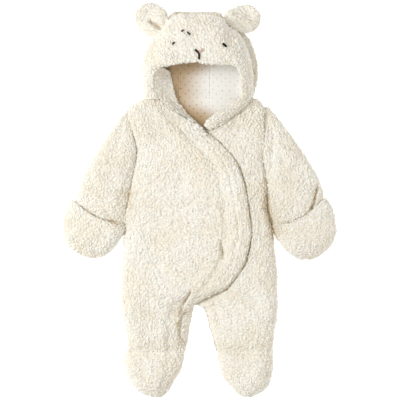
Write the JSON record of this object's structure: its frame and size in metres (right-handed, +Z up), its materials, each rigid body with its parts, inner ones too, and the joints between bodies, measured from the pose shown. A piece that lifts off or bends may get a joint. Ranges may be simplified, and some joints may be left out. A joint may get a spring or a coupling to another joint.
{
  "type": "baby snowsuit",
  "caption": "One-piece baby suit in curly fleece, laid flat: eared hood with a stitched face, curved wrap front, fold-over mitts and closed feet.",
  "frame": {"origin": "middle of the garment's bounding box, on the surface it lies on", "axes": "+X towards the wearer's left side, +Y towards the hood, +Z up from the surface, out of the suit's front"},
  "size_m": [0.4663, 0.6728, 0.062],
  "materials": {
    "curly_fleece": "cream curly pile, matte",
    "lining_jersey": "off-white cotton jersey with small dark dots, matte"
  },
  "bodies": {
    "root": {"back": "curly_fleece", "ear_left_back": "curly_fleece", "ear_left_front": "curly_fleece", "ear_right_back": "curly_fleece", "ear_right_front": "curly_fleece", "foot_sole_left": "curly_fleece", "foot_sole_right": "curly_fleece", "foot_upper_left": "curly_fleece", "foot_upper_right": "curly_fleece", "front_left_under": "curly_fleece", "front_right_wrap": "curly_fleece", "hood_back": "curly_fleece", "hood_facing": "curly_fleece", "hood_front": "curly_fleece", "hood_lining_center": "lining_jersey", "hood_lining_left": "lining_jersey", "hood_lining_right": "lining_jersey", "mitt_left": "curly_fleece", "mitt_right": "curly_fleece", "neck_lining": "lining_jersey", "sleeve_left": "curly_fleece", "sleeve_right": "curly_fleece"}
  },
  "joints": []
}
